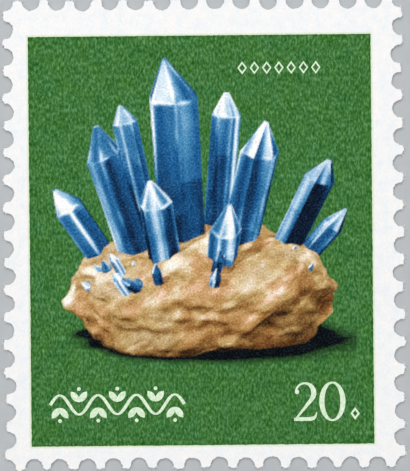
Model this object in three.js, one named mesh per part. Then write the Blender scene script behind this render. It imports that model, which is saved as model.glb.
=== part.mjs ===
// A perforated postage stamp: one piece of gummed paper, lying face up.
//
// Millimetres, +Z up. The origin is the middle of the gummed back, X runs across the stamp and Y
// towards its top edge. The outline is what a perforating comb leaves: a row of round holes along
// each side with one hole in common at each corner, and between two holes a tooth, whose end is
// torn where the stamp was parted from its neighbour on the sheet.

import * as THREE from "three";

// Perforation gauges are counted in holes per 20 mm: 14 1/2 across the top and bottom, 14 down the sides.
const GAUGE_LENGTH = 20;
const GAUGE_ACROSS = 14.5;
const GAUGE_DOWN = 14;

// Steps from one hole to the next between the two corner holes of a side.
const STEPS_ACROSS = 15;
const STEPS_DOWN = 17;

const HOLE_RADIUS = 0.465;
const PAPER_THICKNESS = 0.1;

// No two pins of a comb are quite alike: how far one stands off its place, and how far its radius is off.
const PIN_WANDER = 0.035;
const PIN_RADIUS_SPREAD = 0.012;

// A tooth narrows to a ragged end, which stands past the line through the centres of its holes by
// between these two reaches. Its highest point lies between these two parts of the tooth's width.
const TEAR_LEAST = 0.05;
const TEAR_MOST = 0.17;
const PEAK_FIRST = 0.3;
const PEAK_LAST = 0.7;
const POINTS_PER_TEAR = 5;
const RAGGEDNESS = 0.35;

const ARC_SEGMENTS_PER_QUARTER = 5;

const WIDTH = (STEPS_ACROSS * GAUGE_LENGTH) / GAUGE_ACROSS;
const HEIGHT = (STEPS_DOWN * GAUGE_LENGTH) / GAUGE_DOWN;

const FULL_TURN = 2 * Math.PI;
const QUARTER_TURN = Math.PI / 2;

// A small seeded generator of numbers between two limits, so that every build tears the same teeth.
const SEED = 1977;
const GENERATOR_STEP = 16807;
const GENERATOR_SIZE = 2147483647;

function seededRandom(seed) {
  let state = seed;
  return (least, most) => {
    state = (state * GENERATOR_STEP) % GENERATOR_SIZE;
    return least + ((most - least) * state) / GENERATOR_SIZE;
  };
}

// Every hole around the stamp, anticlockwise from the bottom left corner, with each pin's own error.
function combHoles(random) {
  const corners = [
    new THREE.Vector2(-WIDTH / 2, -HEIGHT / 2),
    new THREE.Vector2(WIDTH / 2, -HEIGHT / 2),
    new THREE.Vector2(WIDTH / 2, HEIGHT / 2),
    new THREE.Vector2(-WIDTH / 2, HEIGHT / 2),
  ];
  const stepsOfSide = [STEPS_ACROSS, STEPS_DOWN, STEPS_ACROSS, STEPS_DOWN];
  const holes = [];
  stepsOfSide.forEach((steps, side) => {
    const next = corners[(side + 1) % corners.length];
    for (let i = 0; i < steps; i++) {
      const centre = corners[side].clone().lerp(next, i / steps);
      centre.x += random(-PIN_WANDER, PIN_WANDER);
      centre.y += random(-PIN_WANDER, PIN_WANDER);
      const radius = HOLE_RADIUS + random(-PIN_RADIUS_SPREAD, PIN_RADIUS_SPREAD);
      holes.push({ centre, radius });
    }
  });
  return holes;
}

// The edge that one hole leaves, with the paper on the left: clockwise from the side that faces the
// hole before it to the side that faces the hole after it.
function holeArc(before, hole, after) {
  const from = before.centre.clone().sub(hole.centre).angle();
  const to = after.centre.clone().sub(hole.centre).angle();
  const sweep = (from - to + FULL_TURN) % FULL_TURN;
  const segments = Math.round((sweep / QUARTER_TURN) * ARC_SEGMENTS_PER_QUARTER);
  const { x, y } = hole.centre;
  const arc = new THREE.EllipseCurve(x, y, hole.radius, hole.radius, from, from - sweep, true);
  return arc.getPoints(segments);
}

// The torn end of the tooth between two holes: a ragged peak that leans to one side or the other.
function tornEnd(hole, after, random) {
  const along = after.centre.clone().sub(hole.centre).normalize();
  const outward = new THREE.Vector2(along.y, -along.x);
  const start = hole.centre.clone().addScaledVector(along, hole.radius);
  const end = after.centre.clone().addScaledVector(along, -after.radius);
  const height = random(TEAR_LEAST, TEAR_MOST);
  const peak = random(PEAK_FIRST, PEAK_LAST);
  const points = [];
  for (let i = 0; i < POINTS_PER_TEAR; i++) {
    const part = (i + 0.5) / POINTS_PER_TEAR;
    const slope = part < peak ? part / peak : (1 - part) / (1 - peak);
    const reach = height * Math.sqrt(slope) * random(1 - RAGGEDNESS, 1);
    points.push(start.clone().lerp(end, part).addScaledVector(outward, reach));
  }
  return points;
}

// The whole perforated sheet, pulled up from its outline to the paper's thickness and centred on the origin.
function stampGeometry() {
  const random = seededRandom(SEED);
  const holes = combHoles(random);
  const outline = holes.flatMap((hole, i) => {
    const before = holes[(i + holes.length - 1) % holes.length];
    const after = holes[(i + 1) % holes.length];
    return [...holeArc(before, hole, after), ...tornEnd(hole, after, random)];
  });
  const geometry = new THREE.ExtrudeGeometry(new THREE.Shape(outline), {
    depth: PAPER_THICKNESS,
    bevelEnabled: false,
  });
  geometry.computeBoundingBox();
  const middle = geometry.boundingBox.getCenter(new THREE.Vector3());
  geometry.translate(-middle.x, -middle.y, 0);
  return geometry;
}

// Coated white stamp paper.
const stampPaper = new THREE.MeshStandardMaterial({
  color: 0xf4f5f3,
  roughness: 0.55,
  metalness: 0,
});

const stamp = new THREE.Mesh(stampGeometry(), stampPaper);
stamp.name = "stamp";

const part = new THREE.Group();
part.add(stamp);

export default part;
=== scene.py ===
# A perforated postage stamp with a printed face, lying face up on a pale floor, seen from straight above.
#
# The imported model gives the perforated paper: its outline, its thickness and its place. This script cuts
# the printed areas into the paper's top face, paints the picture on them point by point, adds the fibres
# of the torn teeth and gives every surface its finish. Sizes are in millimetres until a shape is brought
# onto the paper.

import math
import random

import bmesh
import bpy
import numpy as np
from mathutils import Matrix, Vector, geometry, noise
from mathutils.bvhtree import BVHTree


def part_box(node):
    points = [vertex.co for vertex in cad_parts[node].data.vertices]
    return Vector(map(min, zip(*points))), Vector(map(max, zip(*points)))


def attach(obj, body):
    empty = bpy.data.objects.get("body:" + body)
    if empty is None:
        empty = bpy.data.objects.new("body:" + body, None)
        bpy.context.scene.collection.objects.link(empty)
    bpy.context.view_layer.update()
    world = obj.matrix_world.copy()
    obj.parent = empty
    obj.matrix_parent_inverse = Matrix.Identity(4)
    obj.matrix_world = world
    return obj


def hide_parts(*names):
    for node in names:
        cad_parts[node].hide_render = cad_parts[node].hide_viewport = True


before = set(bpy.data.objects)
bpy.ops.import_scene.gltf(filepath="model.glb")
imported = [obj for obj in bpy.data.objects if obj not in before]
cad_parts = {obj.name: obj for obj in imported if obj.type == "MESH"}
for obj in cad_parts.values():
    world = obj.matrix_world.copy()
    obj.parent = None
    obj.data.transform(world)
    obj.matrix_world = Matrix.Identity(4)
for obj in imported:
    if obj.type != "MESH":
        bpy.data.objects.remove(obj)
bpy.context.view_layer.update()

MM = 0.001

# Points nearer than this, in millimetres, are welded into one.
WELD = 1e-4

# The photograph's frame, its scale, and where the stamp lies in it.
PHOTO_HEIGHT = 471
PIXELS_PER_MM = 19.14
PHOTO_CENTRE_FROM_STAMP = Vector((0.058, -0.095))
STAMP_TURN = math.radians(0.48)
LENS = 100
SENSOR = 36

# The rectangle through the corner holes' centres: 15 and 17 steps at gauges 14 1/2 and 14, which count
# the holes in 20 mm.
HOLES_WIDTH = 15 * 20 / 14.5
HOLES_HEIGHT = 17 * 20 / 14

# The rim is cut into steps of this length. Its points then fray by up to so much, more where it is torn,
# and the holes lose their roundness by up to so much. Both change this quickly along the rim.
RIM_STEP = 0.06
CUT_FRAY = 0.03
TORN_FRAY = 0.045
FRAY_PER_MM = 9
HOLE_WARP = 0.04
WARP_PER_MM = 2.5

# The printed rectangle sits a little low and to the left within the perforations, and a touch askew.
PRINT_LEFT, PRINT_RIGHT = -9.09, 8.79
PRINT_BOTTOM, PRINT_TOP = -11.03, 10.345
PRINT_WIDTH, PRINT_HEIGHT = PRINT_RIGHT - PRINT_LEFT, PRINT_TOP - PRINT_BOTTOM
PRINT_MIDDLE = ((PRINT_LEFT + PRINT_RIGHT) / 2, (PRINT_BOTTOM + PRINT_TOP) / 2)
PRINT_TURN = math.radians(0.08)
PRINT_EDGE_CUTS = 150
PRINT_EDGE_WANDER = 0.03
WANDER_PER_MM = 9

# The part of the print that the picture covers, without its top right corner, which is left to an
# ornament. It is painted point by point, this far apart, and fades out within a short way of its border.
PICTURE_LEFT, PICTURE_RIGHT = -8.3, 8.1
PICTURE_BOTTOM, PICTURE_TOP = -7.2, 9.7
CORNER_LEFT, CORNER_BOTTOM = 1.5, 8.1
PICTURE_DOT = 0.055
PICTURE_FADE = 0.25

# What a face of the sheet is. The first four are printed shapes, the uppermost last.
PAPER, GROUND, PICTURE, LETTER, EDGE, GUM = range(6)

NO_INK = (0, 0, 0, 0)


def linear(hex_colour):
    """Turns an sRGB hex colour into the linear red, green and blue that shaders use."""
    parts = [int(hex_colour[i:i + 2], 16) / 255 for i in (1, 3, 5)]
    return [c / 12.92 if c <= 0.04045 else ((c + 0.055) / 1.055) ** 2.4 for c in parts]


def new_piece(name, mesh_data, materials):
    """Makes a bmesh an object of the scene with its materials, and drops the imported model's own normals."""
    mesh = bpy.data.meshes.new(name)
    mesh_data.to_mesh(mesh)
    mesh_data.free()
    if "custom_normal" in mesh.attributes:
        mesh.attributes.remove(mesh.attributes["custom_normal"])
    piece = bpy.data.objects.new(name, mesh)
    bpy.context.collection.objects.link(piece)
    for material in materials:
        mesh.materials.append(material)
    return piece


# Camera, straight above the stamp

def add_camera():
    """Stands as high as the lens needs for the photograph's frame, turned as the stamp lies in it."""
    height_mm = PHOTO_HEIGHT / PIXELS_PER_MM * LENS / SENSOR
    data = bpy.data.cameras.new("camera")
    data.lens = LENS
    data.sensor_width = SENSOR
    data.clip_start = MM
    camera = bpy.data.objects.new("camera", data)
    centre = PHOTO_CENTRE_FROM_STAMP
    camera.location = (centre.x * MM, centre.y * MM, height_mm * MM)
    camera.rotation_euler = (0, 0, -STAMP_TURN)
    bpy.context.collection.objects.link(camera)
    bpy.context.scene.camera = camera


# Finishes

def add(tree, kind, inputs=None, **settings):
    """Adds one node with its settings; an input that is given a socket is linked to it."""
    node = tree.nodes.new(kind)
    for name, value in settings.items():
        setattr(node, name, value)
    for name, value in (inputs or {}).items():
        if isinstance(value, bpy.types.NodeSocket):
            tree.links.new(value, node.inputs[name])
        else:
            node.inputs[name].default_value = value
    return node


# The sockets of a Mix node: its factor, its two inputs and its output when it mixes colours or numbers.
MIX_FACTOR = 0
MIX_FIRST, MIX_SECOND, MIX_RESULT = 6, 7, 2
MIX_FIRST_NUMBER, MIX_SECOND_NUMBER, MIX_RESULT_NUMBER = 2, 3, 0

# The power that brings light to even steps as the eye sees them.
EYE_GAMMA = 2.2

# Blender's noise has about two grains to a unit, and most of it lies between these two values.
UNITS_PER_GRAIN = 0.5
NOISE_LOW, NOISE_HIGH = 0.25, 0.75

GREEN_INK = "#3E7438"
YELLOWER_GREEN, BLUER_GREEN = "#417534", "#3C733D"

# The specks of gravure cells: their width, their height and how far they lighten or darken the ink.
GROUND_SPECKS = (0.055, 0.11, 0.16)
PICTURE_SPECKS = (0.05, 0.05, 0.13)
LETTER_SPECKS = (0.055, 0.08, 0.1)

PRINT_HALO = "#C4DE98"
PAPER_RELIEF = 0.0015


def new_material(name, viewport_hex):
    material = bpy.data.materials.new(name)
    material.use_nodes = True
    material.node_tree.nodes.clear()
    material.diffuse_color = (*linear(viewport_hex), 1)
    return material, material.node_tree


def finish_surface(tree, colour, height, relief_mm, roughness, gloss):
    """Ends a material in its surface: its colour, a fine relief, and how rough and how glossy it is."""
    bump = add(tree, "ShaderNodeBump", {"Height": height, "Distance": relief_mm * MM, "Strength": 1.0})
    surface = add(tree, "ShaderNodeBsdfPrincipled", {
        "Base Color": colour, "Roughness": roughness, "Specular IOR Level": gloss,
        "Normal": bump.outputs["Normal"]})
    add(tree, "ShaderNodeOutputMaterial", {"Surface": surface.outputs["BSDF"]})


def noise_of_size(tree, across_mm, along_mm, detail=2.0, offset=0.0):
    """A noise whose grains are about this wide and tall; another offset gives another pattern."""
    place = add(tree, "ShaderNodeTexCoord")
    across = UNITS_PER_GRAIN / (across_mm * MM)
    along = UNITS_PER_GRAIN / (along_mm * MM)
    scaled = add(tree, "ShaderNodeMapping", {
        "Vector": place.outputs["Object"], "Location": (offset, offset, offset),
        "Scale": (across, along, across)})
    return add(tree, "ShaderNodeTexNoise", {
        "Vector": scaled.outputs["Vector"], "Scale": 1.0, "Detail": detail, "Roughness": 0.55,
    }).outputs["Fac"]


def paper_relief(tree):
    """The felt of fibres under the coating, as a height."""
    fine = noise_of_size(tree, 0.04, 0.05, detail=3.0, offset=3.0)
    broad = noise_of_size(tree, 0.35, 0.5, offset=7.0)
    both = add(tree, "ShaderNodeMath", {0: broad, 1: 0.8, 2: fine}, operation="MULTIPLY_ADD")
    return both.outputs[0]


def two_tones(tree, pattern, first_hex, second_hex):
    """A colour that drifts from one tone to another with a noise."""
    colour = add(tree, "ShaderNodeValToRGB", {"Fac": pattern})
    first, second = colour.color_ramp.elements
    first.position, second.position = 0.3, 0.7
    first.color = (*linear(first_hex), 1)
    second.color = (*linear(second_hex), 1)
    return colour.outputs["Color"]


def lighten(tree, colour, *steps):
    """Lightens or darkens a colour by steps that look alike to the eye in dark and in light ink."""
    total = steps[0]
    for step in steps[1:]:
        total = add(tree, "ShaderNodeMath", {0: total, 1: step}, operation="ADD").outputs[0]
    grey = add(tree, "ShaderNodeCombineColor", {"Red": total, "Green": total, "Blue": total})
    seen = add(tree, "ShaderNodeGamma", {"Color": colour, "Gamma": 1 / EYE_GAMMA})
    moved = add(tree, "ShaderNodeMix", {
        MIX_FACTOR: 1.0, MIX_FIRST: seen.outputs["Color"], MIX_SECOND: grey.outputs["Color"],
    }, data_type="RGBA", blend_type="ADD", clamp_result=True)
    back = add(tree, "ShaderNodeGamma", {"Color": moved.outputs[MIX_RESULT], "Gamma": EYE_GAMMA})
    return back.outputs["Color"]


def even_steps(tree, pattern, depth):
    """A noise as steps for lighten, up to about this depth either way."""
    steps = add(tree, "ShaderNodeMapRange", {
        "Value": pattern, "From Min": NOISE_LOW, "From Max": NOISE_HIGH, "To Min": -depth, "To Max": depth})
    return steps.outputs["Result"]


def speck_steps(tree, across_mm, along_mm, depth):
    """The specks that gravure cells leave in ink: many a little darker, a few clearly lighter."""
    skew = 1.8
    specks = noise_of_size(tree, across_mm, along_mm, offset=2.0)
    about_one = add(tree, "ShaderNodeMath", {0: specks, 1: 2.0}, operation="MULTIPLY")
    skewed = add(tree, "ShaderNodeMath", {0: about_one.outputs[0], 1: skew}, operation="POWER")
    steps = add(tree, "ShaderNodeMath", {0: skewed.outputs[0], 1: depth, 2: -depth}, operation="MULTIPLY_ADD")
    return steps.outputs[0]


def outside_print(tree):
    """How far a point lies outside the printed rectangle, in millimetres; inside it is less than 0."""
    place = add(tree, "ShaderNodeTexCoord")
    centred = add(tree, "ShaderNodeMapping", {
        "Vector": place.outputs["Object"], "Location": (-PRINT_MIDDLE[0], -PRINT_MIDDLE[1], 0),
        "Rotation": (0, 0, -PRINT_TURN), "Scale": (1 / MM, 1 / MM, 1 / MM)})
    apart = add(tree, "ShaderNodeSeparateXYZ", {"Vector": centred.outputs["Vector"]})
    beyond = []
    for axis, length in (("X", PRINT_WIDTH), ("Y", PRINT_HEIGHT)):
        away = add(tree, "ShaderNodeMath", {0: apart.outputs[axis]}, operation="ABSOLUTE")
        past_edge = add(tree, "ShaderNodeMath", {0: away.outputs[0], 1: length / 2}, operation="SUBTRACT")
        beyond.append(past_edge.outputs[0])
    farther = add(tree, "ShaderNodeMath", {0: beyond[0], 1: beyond[1]}, operation="MAXIMUM")
    return farther.outputs[0]


def coated_stamp_paper():
    """White paper with a thin clay coating: bright and smooth, mottled cool and warm, tinted by the print."""
    material, tree = new_material("coated_stamp_paper", "#F7F8F6")
    mottle = noise_of_size(tree, 0.22, 0.28, detail=3.0)
    white = two_tones(tree, mottle, "#EFF3F6", "#FBF8F6")
    halo_width, halo_strength = 0.13, 0.7
    halo = add(tree, "ShaderNodeMapRange", {
        "Value": outside_print(tree), "From Min": 0.0, "From Max": halo_width,
        "To Min": halo_strength, "To Max": 0.0})
    tinted = add(tree, "ShaderNodeMix", {
        MIX_FACTOR: halo.outputs["Result"], MIX_FIRST: white, MIX_SECOND: (*linear(PRINT_HALO), 1),
    }, data_type="RGBA")
    fibres = noise_of_size(tree, 0.04, 0.07, offset=11.0)
    shaded = lighten(tree, tinted.outputs[MIX_RESULT], even_steps(tree, fibres, 0.02))
    finish_surface(tree, shaded, paper_relief(tree), PAPER_RELIEF, roughness=0.6, gloss=0.15)
    return material


def grained_ink(tree, colour, specks):
    """Breaks an ink's even colour up: gravure specks, faint blotches, and ink pooled at the print's edge."""
    blotch_depth, pool_width, pool_depth = 0.03, 0.22, 0.03
    blotches = noise_of_size(tree, 0.35, 0.35, offset=5.0)
    pooled = add(tree, "ShaderNodeMapRange", {
        "Value": outside_print(tree), "From Min": -pool_width, "From Max": 0.0,
        "To Min": 0.0, "To Max": -pool_depth})
    return lighten(tree, colour, specks, even_steps(tree, blotches, blotch_depth), pooled.outputs["Result"])


def mixed_green(tree):
    """The ground's green, printed from yellow and blue inks that drift a little against each other."""
    drift = noise_of_size(tree, 0.5, 0.6, detail=3.0, offset=37.0)
    return two_tones(tree, drift, YELLOWER_GREEN, BLUER_GREEN)


def gravure_green_ink():
    """The ground of the print: matt green ink on coated paper."""
    material, tree = new_material("gravure_green_ink", GREEN_INK)
    inks = grained_ink(tree, mixed_green(tree), speck_steps(tree, *GROUND_SPECKS))
    finish_surface(tree, inks, paper_relief(tree), PAPER_RELIEF, roughness=0.65, gloss=0.06)
    return material


def gravure_picture_inks():
    """The picture's inks, laid over the green ground as far as they cover it, with the same grain in both."""
    material, tree = new_material("gravure_picture_inks", "#8A6A44")
    paint = add(tree, "ShaderNodeAttribute", attribute_name="picture")
    cover = paint.outputs["Alpha"]
    green = add(tree, "ShaderNodeMix", {
        MIX_FACTOR: cover, MIX_FIRST: mixed_green(tree), MIX_SECOND: (0, 0, 0, 1),
    }, data_type="RGBA")
    both = add(tree, "ShaderNodeMix", {
        MIX_FACTOR: 1.0, MIX_FIRST: green.outputs[MIX_RESULT], MIX_SECOND: paint.outputs["Color"],
    }, data_type="RGBA", blend_type="ADD")
    specks = add(tree, "ShaderNodeMix", {
        MIX_FACTOR: cover, MIX_FIRST_NUMBER: speck_steps(tree, *GROUND_SPECKS),
        MIX_SECOND_NUMBER: speck_steps(tree, *PICTURE_SPECKS)}, data_type="FLOAT")
    inks = grained_ink(tree, both.outputs[MIX_RESULT], specks.outputs[MIX_RESULT_NUMBER])
    finish_surface(tree, inks, paper_relief(tree), PAPER_RELIEF, roughness=0.65, gloss=0.06)
    return material


def pale_letter_tint():
    """Figures and ornament left open in the green: a thin tint that lets the white paper through."""
    material, tree = new_material("pale_letter_tint", "#DEF0D5")
    tone = noise_of_size(tree, 0.12, 0.15, offset=13.0)
    tint_of_ink = two_tones(tree, tone, "#D2EAC8", "#E4F4DC")
    inks = lighten(tree, tint_of_ink, speck_steps(tree, *LETTER_SPECKS))
    finish_surface(tree, inks, paper_relief(tree), PAPER_RELIEF, roughness=0.6, gloss=0.15)
    return material


def torn_paper_edge():
    """The cut and torn rim of the sheet: uncoated fibre, duller and rougher than the face."""
    material, tree = new_material("torn_paper_edge", "#F1F0EC")
    fibres = noise_of_size(tree, 0.02, 0.03, detail=3.0, offset=17.0)
    colour = two_tones(tree, fibres, "#E3E2DC", "#F8F8F6")
    finish_surface(tree, colour, fibres, 0.008, roughness=0.9, gloss=0.2)
    return material


def dried_gum():
    """Gum brushed on the back and dried: a thin cream gloss with a faint crackle and streaks."""
    material, tree = new_material("dried_gum", "#F1ECD9")
    streaks = noise_of_size(tree, 0.4, 3.0, offset=29.0)
    colour = two_tones(tree, streaks, "#ECE6D0", "#F5F1E2")
    plate_size, groove_reach = 1.3, 0.05
    place = add(tree, "ShaderNodeTexCoord")
    crackle = add(tree, "ShaderNodeTexVoronoi", {
        "Vector": place.outputs["Object"], "Scale": 1 / (plate_size * MM)}, feature="DISTANCE_TO_EDGE")
    groove = add(tree, "ShaderNodeMapRange", {
        "Value": crackle.outputs["Distance"], "From Min": 0.0, "From Max": groove_reach,
        "To Min": 0.0, "To Max": 1.0})
    finish_surface(tree, colour, groove.outputs["Result"], 0.004, roughness=0.28, gloss=0.5)
    return material


def wood_pulp_fibre():
    """Bleached wood fibres that were pulled out of the paper where teeth tore: white and slightly clear."""
    material, tree = new_material("wood_pulp_fibre", "#FAFAF8")
    tone = noise_of_size(tree, 0.05, 0.05, detail=1.0, offset=31.0)
    white = two_tones(tree, tone, "#EFEFEC", "#FDFDFC")
    finish_surface(tree, white, tone, 0.001, roughness=0.8, gloss=0.2)
    return material


# The printed layout: flat shapes in millimetres, drawn on a plate and laid over one another

FAR_OFF = Vector((50, 50, 50))


def flat_waver(point, per_mm):
    """A flat offset of up to about 1 either way, which changes this quickly from place to place."""
    near = point * per_mm
    return Vector((noise.noise(near), noise.noise(near + FAR_OFF), 0))


def place_on_print(plate, verts, x, y):
    bmesh.ops.translate(plate, verts=verts, vec=(x, y, 0))


def print_ground(plate):
    """The green rectangle. Its edge wavers a little, as ink does at the border of a gravure plate."""
    verts = bmesh.ops.create_grid(plate, x_segments=1, y_segments=1, size=0.5)["verts"]
    bmesh.ops.scale(plate, verts=verts, vec=(PRINT_WIDTH, PRINT_HEIGHT, 1))
    place_on_print(plate, verts, *PRINT_MIDDLE)
    face = verts[0].link_faces[0]
    bmesh.ops.bisect_edges(plate, edges=list(face.edges), cuts=PRINT_EDGE_CUTS)
    for vert in face.verts:
        vert.co += flat_waver(vert.co, WANDER_PER_MM) * PRINT_EDGE_WANDER
    return [face]


def pen_stroke(plate, path, breadths):
    """One stroke of a pen: a nib's edge, pulled along the path and spread to each point's breadth."""
    nib = None
    drawn = []
    for i, (point, breadth) in enumerate(zip(path, breadths)):
        ahead = path[min(i + 1, len(path) - 1)] - path[max(i - 1, 0)]
        side = Vector((-ahead.y, ahead.x, 0)).normalized() * (breadth / 2)
        if nib is None:
            tips = [plate.verts.new(point + side), plate.verts.new(point - side)]
            nib = plate.edges.new(tips)
            continue
        grown = bmesh.ops.extrude_edge_only(plate, edges=[nib])["geom"]
        new_verts = [item for item in grown if isinstance(item, bmesh.types.BMVert)]
        drawn += [item for item in grown if isinstance(item, bmesh.types.BMFace)]
        tips = [min(new_verts, key=lambda v: (v.co - tip.co).length) for tip in tips]
        tips[0].co = point + side
        tips[1].co = point - side
        nib = plate.edges.get(tips)
    return drawn


def oval(plate, x, y, across, tall, segments, filled):
    verts = bmesh.ops.create_circle(plate, cap_ends=filled, segments=segments, radius=0.5)["verts"]
    bmesh.ops.scale(plate, verts=verts, vec=(across, tall, 1))
    place_on_print(plate, verts, x, y)
    return verts


def disc(plate, x, y, across, tall, segments=20):
    return [oval(plate, x, y, across, tall, segments, filled=True)[0].link_faces[0]]


def ring(plate, x, y, across, tall, side_stroke, end_stroke, segments=48):
    """A closed band between an outer and an inner oval, or two lozenges when it has four segments."""
    loops = []
    for width, height in ((across, tall), (across - 2 * side_stroke, tall - 2 * end_stroke)):
        verts = oval(plate, x, y, width, height, segments, filled=False)
        loops += dict.fromkeys(edge for vert in verts for edge in vert.link_edges)
    return bmesh.ops.bridge_loops(plate, edges=loops)["faces"]


FIGURE_HEIGHT = 2.02
FIGURE_BASE = -9.82
THICK_STROKE = 0.27
THIN_STROKE = 0.1

# The foot of the 2: how far each bend is from the heel and from the base line, and how thick it is there.
FOOT_BENDS = (
    (0.05, 0.09, 0.16), (0.5, 0.1, 0.2), (0.9, 0.1, 0.2), (1.05, 0.13, 0.19),
    (1.16, 0.22, 0.14), (1.21, 0.33, 0.09), (1.24, 0.46, 0.05))


def figure_two(plate, left):
    """A light seriffed 2: a bowl that thickens on its right, a straight fall to the foot, and a flat foot."""
    bowl_centre = Vector((left + 0.62, FIGURE_BASE + FIGURE_HEIGHT - 0.56, 0))
    bowl_half_width, bowl_half_height = 0.47, 0.505
    path, breadths = [], []
    # From just under the bowl's left shoulder, over the top and round to the right.
    for degrees in range(168, -46, -6):
        turn = math.radians(degrees)
        bend = Vector((bowl_half_width * math.cos(turn), bowl_half_height * math.sin(turn), 0))
        path.append(bowl_centre + bend)
        breadths.append(THIN_STROKE + (THICK_STROKE - THIN_STROKE) * max(0, math.cos(turn)) ** 1.5)
    heel = Vector((left + 0.14, FIGURE_BASE + 0.1, 0))
    start = path[-1]
    steps, taper = 8, 0.9
    for step in range(1, steps + 1):
        path.append(start.lerp(heel, step / steps))
        breadths.append(breadths[-1] * taper)
    faces = pen_stroke(plate, path, breadths)
    foot = [Vector((left + x, FIGURE_BASE + y, 0)) for x, y, _ in FOOT_BENDS]
    faces += pen_stroke(plate, foot, [breadth for _, _, breadth in FOOT_BENDS])
    faces += disc(plate, left + 0.22, FIGURE_BASE + FIGURE_HEIGHT - 0.5, across=0.22, tall=0.24)
    return faces


def value_figures(plate):
    """A plain number in the bottom right corner, with a small open lozenge after it."""
    faces = figure_two(plate, left=4.56)
    faces += ring(plate, x=6.62, y=FIGURE_BASE + FIGURE_HEIGHT / 2, across=1.37, tall=FIGURE_HEIGHT + 0.04,
                  side_stroke=THICK_STROKE, end_stroke=THIN_STROKE)
    faces += ring(plate, x=7.8, y=-9.45, across=0.5, tall=0.66, side_stroke=0.13, end_stroke=0.16, segments=4)
    return faces


def vine(plate):
    """A traditional running vine in the bottom left corner: a wavy stem, leaves and berries in its bends."""
    left, length, middle, rise, bends = -8.1, 7.0, -8.87, 0.5, 7
    leaf_length, leaf_breadth, leaf_lean, berry = 0.72, 0.34, math.radians(52), 0.2
    leaf_aside, leaf_out, berry_out = 0.21, 0.42, 0.83
    points, breadths = [], []
    steps = 100
    for step in range(steps + 1):
        along = step / steps
        angle = math.pi * bends * along
        points.append(Vector((left + length * along, middle + rise * math.sin(angle), 0)))
        breadths.append(0.1 + 0.07 * abs(math.cos(angle)))
    faces = pen_stroke(plate, points, breadths)
    for bend in range(bends):
        x = left + length * (bend + 0.5) / bends
        side = 1 if bend % 2 else -1
        for lean in (-1, 1):
            verts = bmesh.ops.create_circle(plate, cap_ends=True, segments=24, radius=0.5)["verts"]
            for vert in verts:
                vert.co.y *= 1 - (2 * vert.co.x) ** 4
            bmesh.ops.scale(plate, verts=verts, vec=(leaf_length, leaf_breadth, 1))
            bmesh.ops.rotate(plate, verts=verts, matrix=Matrix.Rotation(side * lean * leaf_lean, 3, "Z"))
            place_on_print(plate, verts, x + lean * leaf_aside, middle + side * leaf_out)
            faces.append(verts[0].link_faces[0])
        faces += disc(plate, x, middle + side * berry_out, across=berry, tall=berry, segments=14)
    return faces


def lozenge_row(plate):
    """Seven small open lozenges in the top right corner."""
    first, pitch, level, count = 2.08, 0.64, 8.63, 7
    faces = []
    for i in range(count):
        faces += ring(plate, x=first + i * pitch, y=level, across=0.5, tall=0.68,
                      side_stroke=0.095, end_stroke=0.13, segments=4)
    return faces


def lay_out(paper_rim, picture_rim):
    """Lays the printed shapes into the paper's outline: triangles, each with the topmost shape's kind."""
    plate = bmesh.new()
    shapes = [(PAPER, paper_rim), (PICTURE, picture_rim)]
    ground = print_ground(plate)
    letters = value_figures(plate) + vine(plate) + lozenge_row(plate)
    bmesh.ops.rotate(plate, verts=plate.verts, matrix=Matrix.Rotation(PRINT_TURN, 3, "Z"))
    plate.normal_update()
    for kind, faces in ((GROUND, ground), (LETTER, letters)):
        for face in faces:
            corners = [vert.co.to_2d() for vert in face.verts]
            shapes.append((kind, corners if face.normal.z > 0 else corners[::-1]))
    plate.free()

    points, corners = [], []
    for _, outline in shapes:
        corners.append(list(range(len(points), len(points) + len(outline))))
        points += outline
    insides_only, same_point = 1, 1e-5
    laid_points, _, faces, _, _, covered_by = geometry.delaunay_2d_cdt(
        points, [], corners, insides_only, same_point, True)
    kinds = [max((shapes[shape][0] for shape in covering), default=None) for covering in covered_by]
    return laid_points, faces, kinds


# The picture: a small model of crystals on a rock that is only drawn from, and never a piece of the scene

DRAW_SEED = 7
ROCK = 0

# The model is drawn as seen from a little above its front; up on the print is up in the drawing.
LOOK_DOWN = math.radians(16)
LOOK = Vector((0, math.cos(LOOK_DOWN), -math.sin(LOOK_DOWN)))
UP = Vector((0, math.sin(LOOK_DOWN), math.cos(LOOK_DOWN)))
DRAWING_ORIGIN = Vector((-0.1, -5.4))

# Each tall crystal: its foot's place across and back, its lean to the right and towards the front in
# degrees, its length and half its breadth.
TALL_CRYSTALS = (
    (-0.9, 0.2, -3, 0, 11.9, 1.42),
    (1.5, -0.4, 12, 8, 9.4, 1.15),
    (-3.0, -0.2, -17, 4, 8.8, 1.08),
    (3.6, 0.1, 25, 6, 7.4, 0.95),
    (-4.4, 0.0, -33, 2, 5.9, 0.86),
    (-1.7, -1.7, -8, 16, 6.6, 0.92),
    (0.8, -1.9, 7, 20, 5.4, 0.86),
    (0.6, 0.9, 5, -6, 9.6, 0.8),
    (-2.3, 1.1, -12, -8, 9.0, 0.7),
    (4.5, 0.4, 40, 4, 4.7, 0.64),
)
TALL_FOOT_LEVEL = 3.2
SMALL_CRYSTALS = 15


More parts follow.
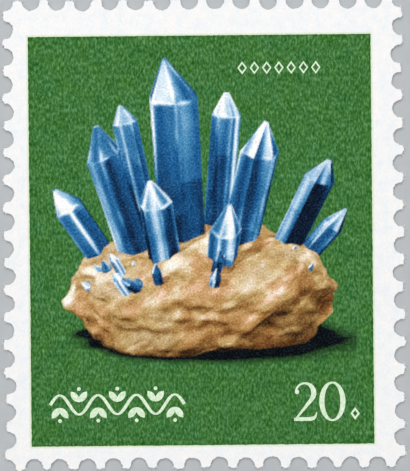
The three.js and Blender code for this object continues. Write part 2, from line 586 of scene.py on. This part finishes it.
def draw_crystal(model, body, number, foot, lean, forward, length, radius, rng):
    """A six-sided prism that ends in a blunt, slightly crooked point. Returns its place and its length."""
    point = radius * rng.uniform(1.3, 2.0)
    foot_radius = radius * 0.93
    verts = bmesh.ops.create_cone(model, cap_ends=True, segments=6, radius1=foot_radius, radius2=radius,
                                  depth=length - point)["verts"]
    bmesh.ops.translate(model, verts=verts, vec=(0, 0, (length - point) / 2))
    faces = {face for vert in verts for face in vert.link_faces}
    shoulder = max(faces, key=lambda f: f.calc_center_median().z)
    grown = bmesh.ops.extrude_face_region(model, geom=[shoulder])["geom"]
    bmesh.ops.delete(model, geom=[shoulder], context="FACES_ONLY")
    tip = [item for item in grown if isinstance(item, bmesh.types.BMVert)]
    blunt_end = (rng.uniform(0.05, 0.2), rng.uniform(0.05, 0.3), 1)
    bmesh.ops.scale(model, verts=tip, vec=blunt_end)
    crook = radius * 0.3
    to_point = (rng.uniform(-crook, crook), rng.uniform(-crook, crook), point)
    bmesh.ops.translate(model, verts=tip, vec=to_point)
    verts += tip
    flatness = rng.uniform(0.75, 1.0)
    bmesh.ops.scale(model, verts=verts, vec=(1, flatness, 1))
    place = (Matrix.Translation(foot)
             @ Matrix.Rotation(math.radians(lean), 4, "Y")
             @ Matrix.Rotation(math.radians(forward), 4, "X")
             @ Matrix.Rotation(math.radians(rng.uniform(0, 60)), 4, "Z"))
    bmesh.ops.transform(model, matrix=place, verts=verts)
    for vert in verts:
        for face in vert.link_faces:
            face[body] = number
    return place, length


def draw_rock(model, body):
    """A broad, rounded rock with soft lumps, worn ledges and a flat base."""
    half_width, half_depth, half_height = 6.7, 4.4, 3.3
    middle_level, base_relief = 2.3, 0.05
    lumps, crags, ledges, skin = 0.2, 0.045, 0.03, 0.02
    verts = bmesh.ops.create_icosphere(model, subdivisions=6, radius=1)["verts"]
    for vert in verts:
        out = vert.co.copy()
        lump = noise.fractal(out * 1.4 + Vector((3.1, 0.4, 7.7)), 0.9, 2.0, 3)
        crag = noise.ridged_multi_fractal(out * 1.7 + Vector((8, 2, 1)), 1.0, 2.1, 3, 0.9, 2.0)
        layer = 2.2 * (out.z + 0.5 * out.x + 0.4 * lump)
        ledge = (0.5 - 0.5 * math.cos(2 * math.pi * layer)) ** 2
        reach = 1 + lumps * lump + crags * crag + ledges * ledge + skin * noise.noise(out * 7)
        vert.co = Vector((out.x * half_width, out.y * half_depth, out.z * half_height)) * reach
        vert.co.z += middle_level
        if vert.co.z < 0:
            vert.co.z *= base_relief
        for face in vert.link_faces:
            face[body] = ROCK


def add_crystals(model, body):
    """The tall crystals, and small ones around the rock's front. Returns each body's place and length."""
    rng = random.Random(DRAW_SEED)
    places = [(Matrix.Identity(4), 1.0)]
    for x, back, lean, forward, length, radius in TALL_CRYSTALS:
        foot = Vector((x, back, TALL_FOOT_LEVEL))
        places.append(draw_crystal(model, body, len(places), foot, lean, forward, length, radius, rng))
    for _ in range(SMALL_CRYSTALS):
        around = rng.uniform(math.pi * 1.02, math.pi * 1.98)
        spread = rng.uniform(0.75, 1.0)
        x, back = 5.2 * spread * math.cos(around), 3.5 * spread * math.sin(around)
        level = 3.6 - 1.9 * spread ** 2 * rng.uniform(0.6, 1.0)
        foot = Vector((x, back, level))
        lean = math.copysign(rng.uniform(10, 50), x)
        forward = rng.uniform(14, 30)
        length = rng.uniform(2.0, 3.6)
        radius = rng.uniform(0.2, 0.34)
        places.append(draw_crystal(model, body, len(places), foot, lean, forward, length, radius, rng))
    return places


MOST_SIDES = 6
CHANCES_PER_MM = 9


def build_model():
    """The whole model to draw from: a tree to cast rays at, what is known of each face, and each body's
    place and length. A face's chances are six numbers from 0 to 1 that only its own place decides."""
    model = bmesh.new()
    body = model.faces.layers.int.new("body")
    draw_rock(model, body)
    places = add_crystals(model, body)
    model.normal_update()

    count = len(model.faces)
    faces = {
        "body": np.array([face[body] for face in model.faces]),
        "corners": np.array([[tuple(vert.co) for vert in face.verts[:3]] for face in model.faces]),
        "round_normals": np.array([[tuple(vert.normal) for vert in face.verts[:3]] for face in model.faces]),
        "middle": np.array([tuple(face.calc_center_median()) for face in model.faces]),
        "half_width": np.ones(count),
        "side_starts": np.zeros((count, MOST_SIDES, 3)),
        "side_inward": np.zeros((count, MOST_SIDES, 3)),
        "chances": np.zeros((count, 6)),
    }
    for i, face in enumerate(model.faces):
        if face[body] == ROCK:
            continue
        across = (places[face[body]][0].to_3x3() @ Vector((0, 0, 1))).cross(face.normal).normalized()
        middle = face.calc_center_median()
        faces["half_width"][i] = max(0.01, max(abs((vert.co - middle).dot(across)) for vert in face.verts))
        cell = middle * CHANCES_PER_MM
        faces["chances"][i] = (*noise.cell_vector(cell), *noise.cell_vector(cell + FAR_OFF))
        corners = [vert.co for vert in face.verts]
        for side in range(MOST_SIDES):
            start = corners[side % len(corners)]
            end = corners[(side + 1) % len(corners)]
            faces["side_starts"][i, side] = start
            faces["side_inward"][i, side] = face.normal.cross(end - start).normalized()
    tree = BVHTree.FromBMesh(model)
    model.free()
    return tree, faces, places


def unit(vectors):
    return vectors / np.maximum(np.linalg.norm(vectors, axis=-1, keepdims=True), 1e-9)


def dots(first, second):
    """The dot product of each pair of vectors in two lists."""
    return np.einsum("ni,ni->n", first, second)


FAR_AWAY = 60.0


def blocked(tree, points, direction, reach=FAR_AWAY):
    """1 where something stands within reach of a point in the given direction, and 0 where it is open."""
    towards = Vector(direction)
    return np.array([tree.ray_cast(point, towards, reach)[0] is not None for point in points.tolist()], float)


def tint(tone, ramp):
    """The linear colour that a tone from 0 to 1 has on a ramp of hex colours."""
    stops = [stop for stop, _ in ramp]
    colours = np.array([linear(hex_colour) for _, hex_colour in ramp])
    return np.stack([np.interp(tone, stops, colours[:, channel]) for channel in range(3)], axis=-1)


def noise_at(points, scale, offset, octaves=1):
    """A noise about 0 at each point; with more octaves it has finer grains in it."""
    shift = Vector(offset)
    places = [Vector(point) * scale + shift for point in points.tolist()]
    if octaves == 1:
        return np.array([noise.noise(place) for place in places])
    return np.array([noise.fractal(place, 0.8, 2.1, octaves) for place in places])


CRYSTAL_BLUES = (
    (0.0, "#04152B"), (0.16, "#0B345C"), (0.34, "#195C93"), (0.52, "#4589B6"),
    (0.68, "#88B6D8"), (0.84, "#CFE5F3"), (1.0, "#FFFFFF"))
ROCK_TANS = (
    (0.0, "#22150A"), (0.18, "#704C24"), (0.36, "#A57F48"), (0.52, "#C3A369"),
    (0.68, "#DABF90"), (0.84, "#EFE2CA"), (1.0, "#FDFBF5"))
ROCK_RUST = "#B06A30"
ROCK_ROSE = "#F8E4CF"
SHADOW_INK = "#020A10"

# The drawing's lights, and the windows that the crystals mirror, as directions towards them.
KEY_LIGHT = unit(np.array((-0.45, -0.62, 0.64)))
RIM_LIGHT = unit(np.array((0.8, -0.2, 0.35)))
SHADOW_LIGHT = unit(np.array((-0.22, 0.05, 0.95)))
BRIGHT_WINDOW = unit(np.array((-0.62, -0.35, 0.70)))
SIDE_WINDOW = unit(np.array((0.9, -0.35, 0.25)))

VEINS = Matrix.Rotation(math.radians(-35), 4, "Y")
STREAK_SEED = 11


def openness(tree, points):
    """How much of the sky above a point is open nearby, which darkens clefts and the feet of crystals."""
    rays, reach = 6, 4.0
    hidden = np.zeros(len(points))
    for ray in range(rays):
        around = 2 * math.pi * ray / rays + 0.4
        rise = 0.55 + 0.2 * (ray % 2)
        direction = unit(np.array((0.8 * math.cos(around), 0.8 * math.sin(around), rise)))
        hidden += blocked(tree, points, direction, reach) / rays
    return 1 - hidden


def rounded(points, normals, struck_faces, faces):
    """The rock's normals, blended between the corners of its facets, so that the facets don't show."""
    corners = faces["corners"][struck_faces]
    whole = np.cross(corners[:, 1] - corners[:, 0], corners[:, 2] - corners[:, 0])
    parts = []
    for i in range(3):
        next_corner, last_corner = corners[:, (i + 1) % 3], corners[:, (i + 2) % 3]
        parts.append(dots(np.cross(next_corner - points, last_corner - points), whole))
    weights = np.stack(parts, axis=-1)
    weights = np.clip(weights / weights.sum(axis=-1, keepdims=True), 0, 1)
    blended = unit((faces["round_normals"][struck_faces] * weights[:, :, None]).sum(axis=1))
    return np.where(dots(blended, normals)[:, None] > 0, blended, normals)


# In the two functions below, the number before each light or marking is how much of it goes into the tone,
# which runs from 0, the darkest ink, to 1, the lightest.

def paint_rock(points, normals, lit, opened):
    """Tan, cream and rust stone, worn round, with pale worn veins and a fine rough skin."""
    coarse = [noise_at(points, 1.5, (axis * 17.0, 3, 5)) for axis in range(3)]
    fine = [noise_at(points, 4.5, (axis * 9.0, 1, 2)) for axis in range(3)]
    rough = np.stack(coarse, axis=-1) * 0.6 + np.stack(fine, axis=-1) * 0.3
    bent = unit(normals + 0.4 * rough)
    direct = np.clip(bent @ KEY_LIGHT, 0, 1) * (0.35 + 0.65 * lit)
    edge_light = np.clip(bent @ RIM_LIGHT, 0, 1)
    outline = np.clip(1 + normals @ np.array(LOOK), 0, 1) ** 3 * np.clip(0.4 + normals[:, 2], 0, 1)
    along_veins = points @ np.array(VEINS.to_3x3()) * np.array((0.3, 1.0, 1.5))
    veins = noise_at(along_veins, 0.8, (5, 5, 5), octaves=4)
    gleam = np.clip(noise_at(along_veins, 0.55, (1, 8, 3), octaves=3) - 0.18, 0, 1)
    mottle = noise_at(points, 1.9, (9, 1, 4), octaves=3)
    low = np.exp(-np.clip(points[:, 2], 0, 9) / 1.3)
    tone = (0.12 + 0.43 * direct + 0.22 * opened + 0.10 * edge_light + 0.22 * outline + 0.19 * veins
            + 0.7 * gleam + 0.10 * mottle - 0.16 * low)
    colour = tint(tone, ROCK_TANS)
    warmth = noise_at(points, 0.4, (2, 7, 3), octaves=3) - 0.35 * mottle + 0.25 * low
    rust = np.clip(warmth, 0, 0.42)[:, None]
    rose = np.clip((-warmth - 0.1) * 1.2, 0, 0.4)[:, None] * np.clip(2 * tone - 0.6, 0, 1)[:, None]
    brightness = colour.mean(axis=-1, keepdims=True)
    colour = colour * (1 - rust) + rust * np.array(linear(ROCK_RUST)) * (0.35 + 1.9 * brightness)
    return colour * (1 - rose) + rose * np.array(linear(ROCK_ROSE)) * (0.15 + 1.25 * brightness)


def paint_crystal(points, normals, lit, opened, struck_faces, faces, places):
    """Blue crystal: flat faces with broad bands of light and dark along them, streaks and pale edges."""
    body = faces["body"][struck_faces]
    to_own = np.array([np.array(place.inverted()) for place, _ in places])[body]
    axis = np.array([np.array(place.to_3x3() @ Vector((0, 0, 1))) for place, _ in places])[body]
    length = np.array([length for _, length in places])[body]
    homogeneous = np.concatenate([points, np.ones((len(points), 1))], axis=1)
    own = np.einsum("nij,nj->ni", to_own, homogeneous)[:, :3]
    height = own[:, 2] / length
    across = unit(np.cross(axis, normals))
    sideways = dots(points, across)
    part = dots(points - faces["middle"][struck_faces], across) / faces["half_width"][struck_faces]
    to_starts = points[:, None] - faces["side_starts"][struck_faces]
    from_edge = np.einsum("nki,nki->nk", to_starts, faces["side_inward"][struck_faces]).min(axis=1)

    streak_count = 1024
    table = np.random.default_rng(STREAK_SEED).normal(size=streak_count)
    tilt, centre, strength, paleness, stepped, step_place = faces["chances"][struck_faces].T

    def streaks(per_mm, drift):
        place = sideways * per_mm + body * 37.3 + height * drift
        return np.interp(place % (streak_count - 1), np.arange(streak_count), table)

    broad, fine = streaks(2.2, 0.8), streaks(7, 1.6)
    bent = unit(normals + across * (0.07 * broad + 0.03 * fine + 0.5 * (tilt - 0.5) * part)[:, None])
    look = np.array(LOOK)
    mirrored = unit(look - 2 * (bent @ look)[:, None] * bent)
    bright = np.exp(-(1 - mirrored @ BRIGHT_WINDOW) / 0.2)
    side = np.exp(-(1 - mirrored @ SIDE_WINDOW) / 0.12)
    sky = np.clip(mirrored[:, 2], 0, 1)
    direct = np.clip(bent @ KEY_LIGHT, 0, 1) * (0.3 + 0.7 * lit)
    cloud = noise_at(own * np.array((0.8, 0.8, 0.2)) + body[:, None] * 3.7, 1.0, (0, 0, 0), octaves=3)
    # Many faces have a band that is a little darker than they are, and some have a far lighter one.
    band_light = np.interp(strength, (0, 0.3, 0.55, 0.7, 1), (-0.22, -0.12, 0.05, 0.45, 0.75))
    band_centre = (centre - 0.5) * 1.1 + 0.25 * cloud
    band = band_light * np.exp(-((part - band_centre) / 0.5) ** 2) * (0.5 + 0.7 * height + 0.6 * cloud)
    grown_step = np.where(height > 0.25 + 0.5 * step_place, 0.09, -0.03)
    edge = np.exp(-(from_edge / 0.1) ** 2) * np.clip(0.17 + 0.6 * cloud + 0.05 * broad, 0, 1)
    tone = (0.03 + 0.27 * direct + 0.12 * opened + 0.42 * bright * (0.4 + 0.6 * lit) + 0.30 * side
            + 0.08 * sky + band * (0.5 + 0.5 * lit) + grown_step * (stepped > 0.4)
            + 0.18 * (paleness - 0.5) + edge + 0.03 * broad + 0.015 * fine + 0.12 * height ** 2
            + 0.18 * cloud)
    bright_tone, held_back = 0.7, 0.6
    tone = np.where(tone > bright_tone, bright_tone + held_back * (tone - bright_tone), tone)
    return tint(tone, CRYSTAL_BLUES)


def ground_shadow(tree, points):
    """How dark the rock's and crystals' shadow is on the ground that they stand on, with a soft edge."""
    rays, softness, just_above = 8, 0.16, 0.01
    level = np.full(len(points), just_above)
    floor = np.stack([points[:, 0], points[:, 1] / math.sin(LOOK_DOWN), level], axis=1)
    dark = np.zeros(len(points))
    for ray in range(rays):
        around = 2 * math.pi * ray / rays
        spread = softness * np.array((math.cos(around), math.sin(around), 0))
        dark += blocked(tree, floor, unit(SHADOW_LIGHT + spread)) / rays
    return dark


def paint(tree, faces, places, points):
    """The picture's colour at points of the drawing, with how far it covers the green; both fade as one."""
    look = np.array(LOOK)
    start = points[:, :1] * np.array((1, 0, 0)) + points[:, 1:] * np.array(UP) - FAR_AWAY * look
    hits = [tree.ray_cast(point, LOOK) for point in start.tolist()]
    struck = np.array([hit[0] is not None for hit in hits])
    place, normal, struck_faces = [
        np.array([hit[part] for hit in hits if hit[0] is not None]) for part in range(3)]
    normal = np.where((normal @ look)[:, None] > 0, -normal, normal)
    clear = place + normal * 0.02
    lit = 1 - blocked(tree, clear, KEY_LIGHT)
    opened = openness(tree, clear)

    inks = np.zeros((len(place), 3))
    stone = faces["body"][struck_faces] == ROCK
    worn = rounded(place[stone], normal[stone], struck_faces[stone], faces)
    inks[stone] = paint_rock(place[stone], worn, lit[stone], opened[stone])
    glassy = ~stone
    inks[glassy] = paint_crystal(place[glassy], normal[glassy], lit[glassy], opened[glassy],
                                 struck_faces[glassy], faces, places)

    painted = np.zeros((len(points), 4))
    painted[struck, :3] = np.clip(inks, 0, 1)
    painted[struck, 3] = 1
    dark = ground_shadow(tree, points[~struck])
    painted[~struck, :3] = np.array(linear(SHADOW_INK)) * dark[:, None]
    painted[~struck, 3] = dark
    return painted


def paint_picture(points):
    """Paints points of the print, given in millimetres. Each is the mean of a few samples around it."""
    tree, faces, places = build_model()
    samples = 2
    painted = np.zeros((len(points), 4))
    for i in range(samples):
        for j in range(samples):
            nudge = (np.array((i, j)) + 0.5) / samples - 0.5
            drawing = points + nudge * PICTURE_DOT - np.array(DRAWING_ORIGIN)
            painted += paint(tree, faces, places, drawing) / samples ** 2
    inset = np.minimum.reduce([
        points[:, 0] - PICTURE_LEFT, PICTURE_RIGHT - points[:, 0],
        points[:, 1] - PICTURE_BOTTOM, PICTURE_TOP - points[:, 1],
        np.maximum(CORNER_LEFT - points[:, 0], CORNER_BOTTOM - points[:, 1])])
    return painted * np.clip(inset / PICTURE_FADE, 0, 1)[:, None]


# The stamp itself

def is_torn(point):
    """Whether a point of the rim is at a tooth's torn end, beyond the line through the holes' centres."""
    return abs(point.x) > HOLES_WIDTH / 2 or abs(point.y) > HOLES_HEIGHT / 2


def paper_body(height):
    """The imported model's paper in millimetres: its outline, cut finer and frayed, with walls and no top."""
    sheet = bmesh.new()
    sheet.from_mesh(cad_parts["stamp"].data)
    sheet.verts.layers.float_color.new("picture")
    bmesh.ops.scale(sheet, verts=sheet.verts, vec=(1 / MM, 1 / MM, 1 / MM))
    bmesh.ops.remove_doubles(sheet, verts=sheet.verts, dist=WELD)
    sheet.normal_update()
    not_facing_down = [face for face in sheet.faces if face.normal.z > -0.5]
    bmesh.ops.delete(sheet, geom=not_facing_down, context="FACES")
    back = bmesh.ops.dissolve_faces(sheet, faces=list(sheet.faces))["region"][0]
    back.material_index = GUM
    edges_by_cuts = {}
    for edge in back.edges:
        edges_by_cuts.setdefault(int(edge.calc_length() / RIM_STEP), []).append(edge)
    for cuts, edges in edges_by_cuts.items():
        if cuts:
            bmesh.ops.bisect_edges(sheet, edges=edges, cuts=cuts)
    for vert in back.verts:
        fray = TORN_FRAY if is_torn(vert.co) else CUT_FRAY
        vert.co += flat_waver(vert.co, FRAY_PER_MM) * fray + flat_waver(vert.co, WARP_PER_MM) * HOLE_WARP
    # The walls are set one by one along the outline, because extruding it would leave them in any order.
    foot = list(back.verts)
    raised = [sheet.verts.new(vert.co + Vector((0, 0, height))) for vert in foot]
    for i in range(len(foot)):
        wall = sheet.faces.new((foot[i - 1], foot[i], raised[i], raised[i - 1]))
        wall.material_index = EDGE
    bmesh.ops.triangulate(sheet, faces=[back])
    return sheet


def rim_of(verts):
    """The open rim of some faces as flat points: anticlockwise, from the leftmost one."""
    start = next(edge for vert in verts for edge in vert.link_edges if edge.is_boundary)
    vert, edge = start.verts[0], start
    points = []
    while not points or vert is not start.verts[0]:
        points.append(vert.co.to_2d())
        vert = edge.other_vert(vert)
        edge = next(other for other in vert.link_edges if other.is_boundary and other is not edge)
    turn = sum(a.cross(b) for a, b in zip(points, points[1:] + points[:1]))
    if turn < 0:
        points.reverse()
    first = min(range(len(points)), key=lambda i: tuple(points[i]))
    return points[first:] + points[:first]


def add_picture(sheet, height):
    """The picture's place as a fine grid with a corner left out, and the ink of each of its points."""
    inks = sheet.verts.layers.float_color["picture"]
    width, tall = PICTURE_RIGHT - PICTURE_LEFT, PICTURE_TOP - PICTURE_BOTTOM
    verts = bmesh.ops.create_grid(sheet, x_segments=round(width / PICTURE_DOT),
                                  y_segments=round(tall / PICTURE_DOT), size=0.5)["verts"]
    bmesh.ops.scale(sheet, verts=verts, vec=(width, tall, 1))
    place_on_print(sheet, verts, (PICTURE_LEFT + PICTURE_RIGHT) / 2, (PICTURE_BOTTOM + PICTURE_TOP) / 2)
    corner = [vert for vert in verts if vert.co.x > CORNER_LEFT and vert.co.y > CORNER_BOTTOM]
    bmesh.ops.delete(sheet, geom=corner, context="VERTS")
    verts = [vert for vert in verts if vert.is_valid]
    painted = paint_picture(np.array([vert.co.to_2d() for vert in verts]))
    for vert, ink in zip(verts, painted.tolist()):
        vert[inks] = ink
        for face in vert.link_faces:
            face.material_index = PICTURE
    bmesh.ops.rotate(sheet, verts=verts, matrix=Matrix.Rotation(PRINT_TURN, 3, "Z"))
    bmesh.ops.translate(sheet, verts=verts, vec=(0, 0, height))
    return verts


def add_printed_face(sheet, rim, picture, height):
    """Fills the top of the sheet around the picture with the laid-out print."""
    points, faces, kinds = lay_out(rim, rim_of(picture))
    verts = [sheet.verts.new((point.x, point.y, height)) for point in points]
    inks = sheet.verts.layers.float_color["picture"]
    for vert in verts:
        vert[inks] = NO_INK
    for corners, kind in zip(faces, kinds):
        if kind not in (None, PICTURE):
            face = sheet.faces.new([verts[corner] for corner in corners])
            face.material_index = kind
    bmesh.ops.delete(sheet, geom=[vert for vert in verts if not vert.link_faces], context="VERTS")


def add_printed_sheet():
    """The paper with its print, as one closed skin. Returns the paper's rim."""
    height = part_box("stamp")[1][2] / MM
    sheet = paper_body(height)
    rim = rim_of(sheet.verts)
    add_printed_face(sheet, rim, add_picture(sheet, height), height)
    bmesh.ops.remove_doubles(sheet, verts=sheet.verts, dist=WELD)
    bmesh.ops.recalc_face_normals(sheet, faces=sheet.faces)
    bmesh.ops.scale(sheet, verts=sheet.verts, vec=(MM, MM, MM))
    finishes = [coated_stamp_paper(), gravure_green_ink(), gravure_picture_inks(), pale_letter_tint(),
                torn_paper_edge(), dried_gum()]
    piece = new_piece("printed_sheet", sheet, finishes)
    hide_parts("stamp")
    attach(piece, "root")
    return rim


# How many fibres stand at each point of the rim on average, and over how many points one tuft reaches.
TORN_FIBRES = 2.8
CUT_FIBRES = 0.35
TUFT_POINTS = 8
FIBRE_SEED = 19


def pull_fibre(tuft, root, heading, length, thickness, rng):
    """One fibre: a three-sided strand, drawn out in a few wandering, thinning steps."""
    verts = bmesh.ops.create_circle(tuft, cap_ends=True, segments=3, radius=thickness / 2)["verts"]
    face = verts[0].link_faces[0]
    stand = Matrix.Rotation(heading, 4, "Z") @ Matrix.Rotation(math.radians(90), 4, "Y")
    bmesh.ops.transform(tuft, matrix=Matrix.Translation(root) @ stand, verts=verts)
    steps, most_turn, taper = 4, 0.5, 0.8
    for step in range(steps):
        heading += rng.uniform(-most_turn, most_turn)
        grown = bmesh.ops.extrude_face_region(tuft, geom=[face])["geom"]
        if step > 0:
            bmesh.ops.delete(tuft, geom=[face], context="FACES_ONLY")
        face = next(item for item in grown if isinstance(item, bmesh.types.BMFace))
        forward = Vector((math.cos(heading), math.sin(heading), 0)) * (length / steps)
        bmesh.ops.translate(tuft, verts=list(face.verts), vec=forward)
        middle = Matrix.Translation(-face.calc_center_median())
        bmesh.ops.scale(tuft, verts=list(face.verts), vec=(taper, taper, taper), space=middle)


def add_torn_fibres(rim):
    """Short fibres along the rim, most of them at the teeth, pulled from the paper as stamps were parted."""
    rng = random.Random(FIBRE_SEED)
    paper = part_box("stamp")[1][2] / MM
    fringe = bmesh.new()
    tuft_mesh = bpy.data.meshes.new("tuft")
    for first in range(0, len(rim), TUFT_POINTS):
        tuft = bmesh.new()
        for i in range(first, min(first + TUFT_POINTS, len(rim))):
            point = rim[i]
            ahead = rim[(i + 1) % len(rim)] - rim[i - 1]
            outward = math.atan2(-ahead.x, ahead.y)
            torn = is_torn(point)
            for _ in range(int((TORN_FIBRES if torn else CUT_FIBRES) + rng.random())):
                depth = rng.uniform(0.0, 0.03)
                level = rng.uniform(0.15, 0.85) * paper
                root = point - Vector((math.cos(outward), math.sin(outward))) * depth
                length = rng.uniform(0.05, 0.2) if torn else rng.uniform(0.03, 0.09)
                heading = outward + rng.uniform(-0.9, 0.9)
                thickness = rng.uniform(0.01, 0.02)
                pull_fibre(tuft, Vector((root.x, root.y, level)), heading, length, thickness, rng)
        tuft.to_mesh(tuft_mesh)
        tuft.free()
        fringe.from_mesh(tuft_mesh)
    bpy.data.meshes.remove(tuft_mesh)
    bmesh.ops.scale(fringe, verts=fringe.verts, vec=(MM, MM, MM))
    bmesh.ops.recalc_face_normals(fringe, faces=fringe.faces)
    piece = new_piece("torn_fibres", fringe, [wood_pulp_fibre()])
    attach(piece, "root")


# The floor and the studio light, in metres

FLOOR_HALF_WIDTH = 0.6
FLOOR_GAP = 0.00001


def pale_board():
    """A pale grey card under the stamp, matt, with a faint tooth."""
    material, tree = new_material("pale_board", "#B9BDC0")
    mottle = noise_of_size(tree, 0.5, 0.5, detail=3.0, offset=41.0)
    grey = two_tones(tree, mottle, "#B6BABD", "#BCC0C3")
    finish_surface(tree, grey, mottle, 0.004, roughness=0.85, gloss=0.2)
    return material


def add_floor():
    floor = bmesh.new()
    bmesh.ops.create_grid(floor, x_segments=1, y_segments=1, size=FLOOR_HALF_WIDTH)
    bmesh.ops.translate(floor, verts=floor.verts, vec=(0, 0, -FLOOR_GAP))
    new_piece("floor", floor, [pale_board()])


def add_light(name, place, size, power):
    data = bpy.data.lights.new(name, "AREA")
    data.shape = "DISK"
    data.size = size
    data.energy = power
    light = bpy.data.objects.new(name, data)
    light.location = place
    light.rotation_euler = (-Vector(place)).to_track_quat("-Z", "Y").to_euler()
    bpy.context.collection.objects.link(light)


def add_studio():
    """Wide soft lights off to the sides, so that no gloss falls back up into a camera straight above."""
    add_light("window", (-0.03, 0.21, 0.18), size=0.16, power=0.4)
    add_light("left_bounce", (-0.30, -0.05, 0.28), size=0.24, power=0.475)
    add_light("right_bounce", (0.30, -0.10, 0.28), size=0.24, power=0.475)
    world = bpy.data.worlds.new("soft_room")
    world.use_nodes = True
    background = world.node_tree.nodes["Background"]
    background.inputs["Color"].default_value = (1, 1, 1, 1)
    background.inputs["Strength"].default_value = 0.35
    bpy.context.scene.world = world
    bpy.context.scene.view_settings.view_transform = "Standard"


add_camera()
paper_rim = add_printed_sheet()
add_torn_fibres(paper_rim)
add_floor()
add_studio()
